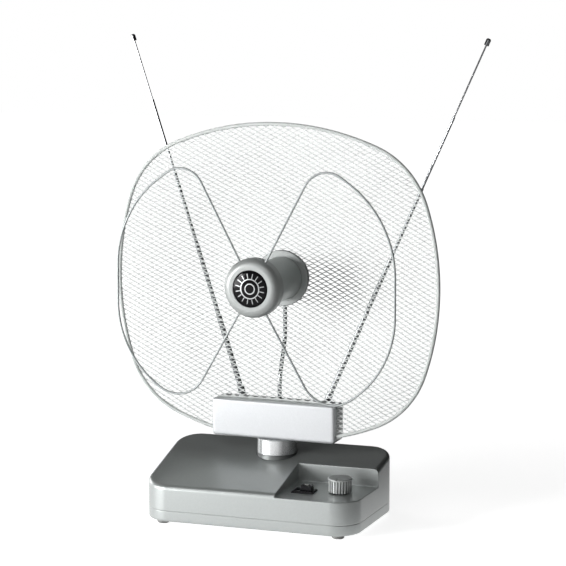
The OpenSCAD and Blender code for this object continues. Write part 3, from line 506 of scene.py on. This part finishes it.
spokes = (spoke < spoke_half) * (abs(reach - spoke_middle) < spoke_reach)
silver_ink = resin.sum("MINIMUM", rings + spokes, 1.0)
worn_ink = silver_ink * (resin.noise(1800, 2.0) * 0.3 + 0.75)
resin.feed(Base_Color=resin.mix(worn_ink, (0.003, 0.003, 0.0035), (0.46, 0.47, 0.48)),
           Metallic=silver_ink * 0.6, Roughness=silver_ink * 0.15 + resin.noise(300) * 0.02 + 0.05)
dome_steps, dome_sides, dome_rise, disc_back = 14, 96, 0.0016, 0.0011
dome_mesh = bpy.data.meshes.new("emblem_dome")
work = bmesh.new()
quarter = [k / dome_steps * math.pi / 2 for k in range(dome_steps + 1)]
profile = [(badge_radius * math.sin(a), -dome_rise * math.cos(a) ** 0.8) for a in quarter]
profile += [(badge_radius, disc_back), (0.0, disc_back)]
line = [work.verts.new((r, y, 0)) for r, y in profile]
edges = [work.edges.new(pair) for pair in zip(line, line[1:])]
bmesh.ops.spin(work, geom=line + edges, cent=(0, 0, 0), axis=(0, 1, 0), angle=2 * math.pi,
               steps=dome_sides, use_merge=True)
bmesh.ops.remove_doubles(work, verts=work.verts, dist=1e-7)
bmesh.ops.recalc_face_normals(work, faces=work.faces)
work.to_mesh(dome_mesh)
work.free()
dome_mesh.transform(Matrix.Translation(badge_middle) @ Matrix.Rotation(head_turn, 4, "Z"))
dome_mesh.materials.append(resin.material)
dome = smooth_over(placed("emblem_dome", dome_mesh), 30)
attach(dome, "head")
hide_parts("badge")

# Reflector rim: a steel bar bent to a rounded square and welded to the
# mesh. Its two ends run into the sides of the head box. Pale grey enamel.
rim_paint = Finish("rim_enamel", (0.60, 0.625, 0.615), 0.65, Specular_IOR_Level=0.3,
                   Subsurface_Weight=0.9, Subsurface_Radius=(1.0, 1.0, 1.0), Subsurface_Scale=0.003)
speck = rim_paint.noise(750, 3.0)
rim_tone = rim_paint.mix(rim_paint.noise(40, 3.0), (0.58, 0.605, 0.595), (0.64, 0.665, 0.65))
rim_paint.feed(Base_Color=rim_tone, Roughness=speck * 0.2 + 0.45,
               Normal=rim_paint.bumps(speck, 0.00003, 0.4))
rim_wide, rim_tall, rim_front, rim_drop = 0.1487, 0.1383, -0.007, 0.0024
box_slack, into_box = 0.0002, 0.006
top_r, side_r, corner_r = 1.772 * rim_tall, 1.543 * rim_wide, 0.539 * (rim_wide + rim_tall) / 2
top_c, side_c = Vector((0, rim_tall - top_r)), Vector((rim_wide - side_r, 0))
apart = (side_c - top_c).length
along = ((top_r - corner_r) ** 2 - (side_r - corner_r) ** 2 + apart ** 2) / (2 * apart)
lean = (side_c - top_c) / apart
aside = math.sqrt((top_r - corner_r) ** 2 - along ** 2)
corner_c = top_c + lean * along + Vector((lean.y, -lean.x)) * aside
at_top = math.atan2(corner_c.y - top_c.y, corner_c.x - top_c.x)
at_side = math.atan2(corner_c.y - side_c.y, corner_c.x - side_c.x)
box_low, box_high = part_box("box_front")
box_half = (box_high.x - box_low.x) / 2 / math.cos(head_turn) - box_slack
rim_end = math.acos((box_half - into_box) / top_r)


def arc(centre, radius, start, end, steps):
    """Points on an arc, after its first."""
    return [centre + Vector((math.cos(a), math.sin(a))) * radius
            for a in (start + (end - start) * k / steps for k in range(1, steps + 1))]


foot_c = Vector((0, -top_c.y))
right_half = [foot_c + Vector((math.cos(-rim_end), math.sin(-rim_end))) * top_r]
right_half += arc(foot_c, top_r, -rim_end, -at_top, 10)
right_half += arc(Vector((corner_c.x, -corner_c.y)), corner_r, -at_top, -at_side, 26)
right_half += arc(side_c, side_r, -at_side, at_side, 30) + arc(corner_c, corner_r, at_side, at_top, 26)
right_half += arc(top_c, top_r, at_top, math.pi / 2, 16)
outline = right_half + [Vector((-p.x, p.y)) for p in right_half[-2::-1]]
rim = smooth_over(grown("rim_bar", route([(p.x, rim_front, p.y - rim_drop) for p in outline]),
                        {"Sides": 20, "Radius": 0.0017}, round_bar, rim_paint.material))
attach(rim, "head")
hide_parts("reflector_rim")

# Reflector mesh: one sheet of expanded aluminium, slit and drawn so that
# every row zigzags and meets the next at short bonds, then dished and
# sprayed pale silver. It ends on the rim, and is notched round the box.
mesh_paint = Finish("mesh_paint", (0.74, 0.765, 0.755), 0.50, Specular_IOR_Level=0.3)
mesh_tone = mesh_paint.mix(mesh_paint.noise(26, 3.0), (0.71, 0.735, 0.725), (0.78, 0.805, 0.795))
mesh_paint.feed(Base_Color=mesh_tone, Roughness=mesh_paint.noise(900, 2.0) * 0.2 + 0.28)


def expanded_sheet(tree, inputs):
    """Zigzag rows of strand, each a thin bar, cut to the rim and the box, and dished."""
    index = tree.node("GeometryNodeInputIndex")
    where = tree.node("GeometryNodeInputPosition")
    wide, high, bond, strand = (inputs[k] for k in ("Cell width", "Cell height", "Bond", "Strand"))
    phase = index % 4.0
    late = phase > 1.5
    x = wide * tree.sum("FLOOR", index / 4.0) + late * wide * 0.5 + ((phase % 2.0) - 0.5) * bond
    z = (1.0 - 2.0 * late) * (high * 0.25 - strand * 0.5)
    x = x - wide * inputs["Points in a row"] / 8.0
    strip = tree.node("GeometryNodeMeshLine", {"mode": "OFFSET"}, {"Count": inputs["Points in a row"]})
    strip = tree.node("GeometryNodeSetPosition", {},
                      {"Geometry": strip, "Position": point(tree, x, 0.0, z)})
    shift, level = (index % 2.0) * wide * 0.5, (index - inputs["Rows"] * 0.5) * high * 0.5
    rows = tree.node("GeometryNodeMeshLine", {"mode": "OFFSET"}, {"Count": inputs["Rows"]})
    rows = tree.node("GeometryNodeSetPosition", {},
                     {"Geometry": rows, "Position": point(tree, shift, 0.0, level)})
    sheet = tree.node("GeometryNodeRealizeInstances", {}, {
        "Geometry": tree.node("GeometryNodeInstanceOnPoints", {}, {"Points": rows, "Instance": strip})})

    px, _, pz = tree.parts(where)
    ax, az = abs(px), abs(pz + rim_drop)
    dx, dz = ax - corner_c.x, az - corner_c.y
    top = (dz * math.cos(at_top) - dx * math.sin(at_top)) > 0.0
    side = ((dx * math.sin(at_side) - dz * math.cos(at_side)) > 0.0) * (1.0 - top)
    corner = 1.0 - top - side
    vx = ax - (side * side_c.x + corner * corner_c.x)
    vz = az - (top * top_c.y + corner * corner_c.y)
    far = (vx * vx + vz * vz) ** 0.5
    over = far - (top * top_r + side * side_r + corner * corner_r)
    step = inputs["Reach"]
    box_in, box_under = inputs["Box half"] - ax, inputs["Box top"] - pz
    in_box = (box_in > 0.0) * (box_under > 0.0)
    deep = in_box * (box_in > step) * (box_under > step)
    bore = (px * px + pz * pz) < inputs["Bore radius"] * inputs["Bore radius"]
    lost = tree.sum("MAXIMUM", tree.sum("MAXIMUM", over > step, deep), bore)
    sheet = tree.node("GeometryNodeDeleteGeometry", {"domain": "POINT"},
                      {"Geometry": sheet, "Selection": lost})
    pull = tree.sum("MAXIMUM", over, 0.0) / far
    side_of = tree.sum("SIGN", px)
    nx, nz = side_of * (ax - vx * pull), tree.sum("SIGN", pz + rim_drop) * (az - vz * pull) - rim_drop
    to_top = in_box * (box_under < box_in)
    to_side = in_box * (1.0 - to_top)
    nx = nx + to_side * (side_of * inputs["Box half"] - nx)
    nz = nz + to_top * (inputs["Box top"] - nz)
    past_flat = tree.sum("MAXIMUM", (nx * nx + nz * nz) ** 0.5 - inputs["Flat radius"], 0.0)
    share = tree.sum("MINIMUM", past_flat / (inputs["Bowl radius"] - inputs["Flat radius"]), 1.0)
    rise = 1.0 - share * share
    ny = rim_front + inputs["Bowl depth"] * rise * rise + inputs["Lift"]
    sheet = tree.node("GeometryNodeSetPosition", {},
                      {"Geometry": sheet, "Position": point(tree, nx, ny, nz)})
    strands = tree.node("GeometryNodeMeshToCurve", {}, {"Mesh": sheet})
    blade = tree.node("GeometryNodeTransform", {}, {
        "Geometry": circle(tree, 4, strand * inputs["Bar share"]), "Rotation": (0.0, 0.0, math.pi / 4)})
    return tree.node("GeometryNodeCurveToMesh", {},
                     {"Curve": strands, "Profile Curve": blade, "Fill Caps": False})


lattice = grown("mesh_sheet", None, {
    "Cell width": 0.0082, "Cell height": 0.00432, "Bond": 0.0012, "Strand": 0.00096, "Bar share": 0.62,
    "Points in a row": 152, "Rows": 134, "Reach": 0.0036, "Bore radius": 0.0055,
    "Box half": box_half + 0.0003, "Box top": box_top + 0.0003, "Flat radius": 0.0253,
    "Bowl radius": 0.150, "Bowl depth": 0.020, "Lift": 0.0004}, expanded_sheet, mesh_paint.material)
lattice.data.transform(head_place)
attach(lattice, "head")
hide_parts("reflector_mesh")

# Wire loops: two runs of grey-plated steel wire, bent on a former. Both
# ends of each are plugged into the terminal block behind the cap.
wire = Finish("plated_wire", (0.36, 0.38, 0.38), 0.50, 0.4)
tarnish = wire.noise(120, 3.0)
wire.feed(Base_Color=wire.mix(tarnish, (0.32, 0.34, 0.34), (0.40, 0.42, 0.42)),
          Roughness=tarnish * 0.2 + 0.38)
loop_reach, loop_top, loop_y = 0.126, 0.110, -0.056
corners = [(0.0067, 0.013), (loop_reach * 0.468, loop_top), (loop_reach, loop_top * 0.564),
           (loop_reach + 0.0007, -loop_top * 0.582), (loop_reach * 0.492, -loop_top * 0.98),
           (0.0066, -0.0122)]
bends = [0.022, 0.094, 0.086, 0.028]
for side, name in ((-1, "left"), (1, "right")):
    bent = rounded([(side * x, loop_y, z) for x, z in corners], bends, 22)
    loop = smooth_over(grown(name + "_wire_loop", route(bent), {"Sides": 14, "Radius": 0.001},
                             round_bar, wire.material))
    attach(loop, "head")
    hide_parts(name + "_loop")

# Telescopic whips: five drawn tubes of chromed brass, each sliding in the
# one below, on a knuckle that is screwed to the back of the head box.
dress(chrome.material, *[side + part for side in ("left_", "right_")
                         for part in ("knuckle", "tube", "section_2", "section_3", "section_4", "rod")])

# Studio floor: a white sweep that glows where it is seen and still takes the
# shadow. It shows dark in a gloss on the right, as the photograph has it.
floor_half, floor_level = 6, -0.0002
square = [(x * floor_half, y * floor_half) for x, y in ((-1, -1), (1, -1), (1, 1), (-1, 1))]
floor_mesh = bpy.data.meshes.new("floor")
floor_mesh.from_pydata([(x, y, floor_level) for x, y in square], [], [(0, 1, 2, 3)])
floor = placed("floor", floor_mesh)
paper = Finish("floor_paper", (0.86, 0.86, 0.86), 0.9, Specular_IOR_Level=0.1)
paper.feed(Base_Color=paper.mix(paper.noise(3.0, 2.0), (0.85, 0.85, 0.85), (0.87, 0.87, 0.87)))
camera_ray, glossy_ray, through_ray = paper.rays()
floor_x, floor_y, _ = paper.parts(paper.place)
dim_right = 1.0 - paper.between(floor_x, 0.09, 0.18) * 0.95
seen = paper.sum("MINIMUM", camera_ray + glossy_ray * dim_right + through_ray, 1.0)
away = (floor_x ** 2.0 + floor_y ** 2.0) ** 0.5
white = paper.between(away, 0.25, 1.2) * 0.22 + 0.82
glow = paper.node("ShaderNodeEmission", {}, {"Color": (1, 1, 1, 1), "Strength": seen * white})
both = paper.node("ShaderNodeAddShader", {}, {0: Value(paper, paper.shader.outputs[0]), 1: glow})
paper.group.links.new(both.socket, paper.group.nodes["Material Output"].inputs["Surface"])
floor_mesh.materials.append(paper.material)

# Studio sky: plain white to the camera. To the object it is a light wall all
# round, under a dark ceiling and between a dark screen on either side. The
# studio's front, in degrees, is a little to the right of the object's own.
studio_front = 18.97
world = bpy.data.worlds.new("studio")
bpy.context.scene.world = world
world.use_nodes = True
sky = Tree(world.node_tree)
camera_ray, glossy_ray, through_ray = sky.rays()
east, north, height = sky.parts(sky.node("ShaderNodeTexCoord", out=0))


def screened(past_edge, slope, most):
    """How much a screen takes away, by how far past its edge a direction is."""
    return sky.sum("MINIMUM", sky.sum("MAXIMUM", past_edge, 0.0) * slope, most)


rightward = east * math.cos(math.radians(studio_front)) + north * math.sin(math.radians(studio_front))
right_edge, left_edge, soft_share = 0.12, 0.70, 0.52
under_ceiling = 1.0 - screened(height, 3.8, 0.94)
right_screen = screened(rightward - right_edge, 2.8, 0.88)
left_screen = screened(0.0 - rightward - left_edge, 2.6, 0.72)
shown = sky.sum("MINIMUM", camera_ray + through_ray, 1.0)
soft = (1.0 - right_screen - left_screen) * (glossy_ray + (1.0 - glossy_ray) * soft_share)
strength = shown + (1.0 - shown) * under_ceiling * soft
background = world.node_tree.nodes["Background"]
background.inputs["Color"].default_value = (1, 1, 1, 1)
sky.group.links.new(strength.socket, background.inputs["Strength"])

# Lamps and camera: a broad low lamp at the front left, a strip for the upper
# edges, a small one for the emblem's glint, and weak ones right and behind.
view_target = Vector((-0.00503, -0.00475, 0.2067))


def around(azimuth, elevation, distance):
    """A place round the object, by degrees from its front and from level."""
    a, e = math.radians(azimuth), math.radians(elevation)
    toward = Vector((math.sin(a) * math.cos(e), -math.cos(a) * math.cos(e), math.sin(e)))
    return view_target + distance * toward


def aimed(thing, name, place):
    """A lamp or camera that looks at the object's middle."""
    made = placed(name, thing)
    made.location = place
    made.rotation_mode = "QUATERNION"
    made.rotation_quaternion = (view_target - place).to_track_quat("-Z", "Y")
    return made


for name, azimuth, elevation, distance, width, tall, power in (
        ("front_lamp", -50, -1, 1.8, 1.3, 0.60, 36.0),
        ("right_lamp", 80, 12, 2.2, 0.9, 0.90, 0.3),
        ("edge_lamp", -14, 33, 1.5, 1.4, 0.30, 5.0),
        ("back_lamp", 252, 8, 1.9, 0.9, 0.80, 9.0),
        ("glint_lamp", -40, 10, 1.5, 0.16, 0.10, 4.5)):
    lamp = bpy.data.lights.new(name, "AREA")
    lamp.shape, lamp.size, lamp.size_y, lamp.energy = "RECTANGLE", width, tall, power
    aimed(lamp, name, around(azimuth, elevation, distance))

lens = bpy.data.cameras.new("camera")
lens.sensor_width, lens.lens = 36.0, 122.58
lens.clip_start, lens.clip_end = 0.05, 60.0
camera_elevation, camera_distance = 8.02, 1.6505
camera_place = around(studio_front, camera_elevation, camera_distance)
bpy.context.scene.camera = aimed(lens, "camera", camera_place)
bpy.context.scene.view_settings.view_transform = "Standard"
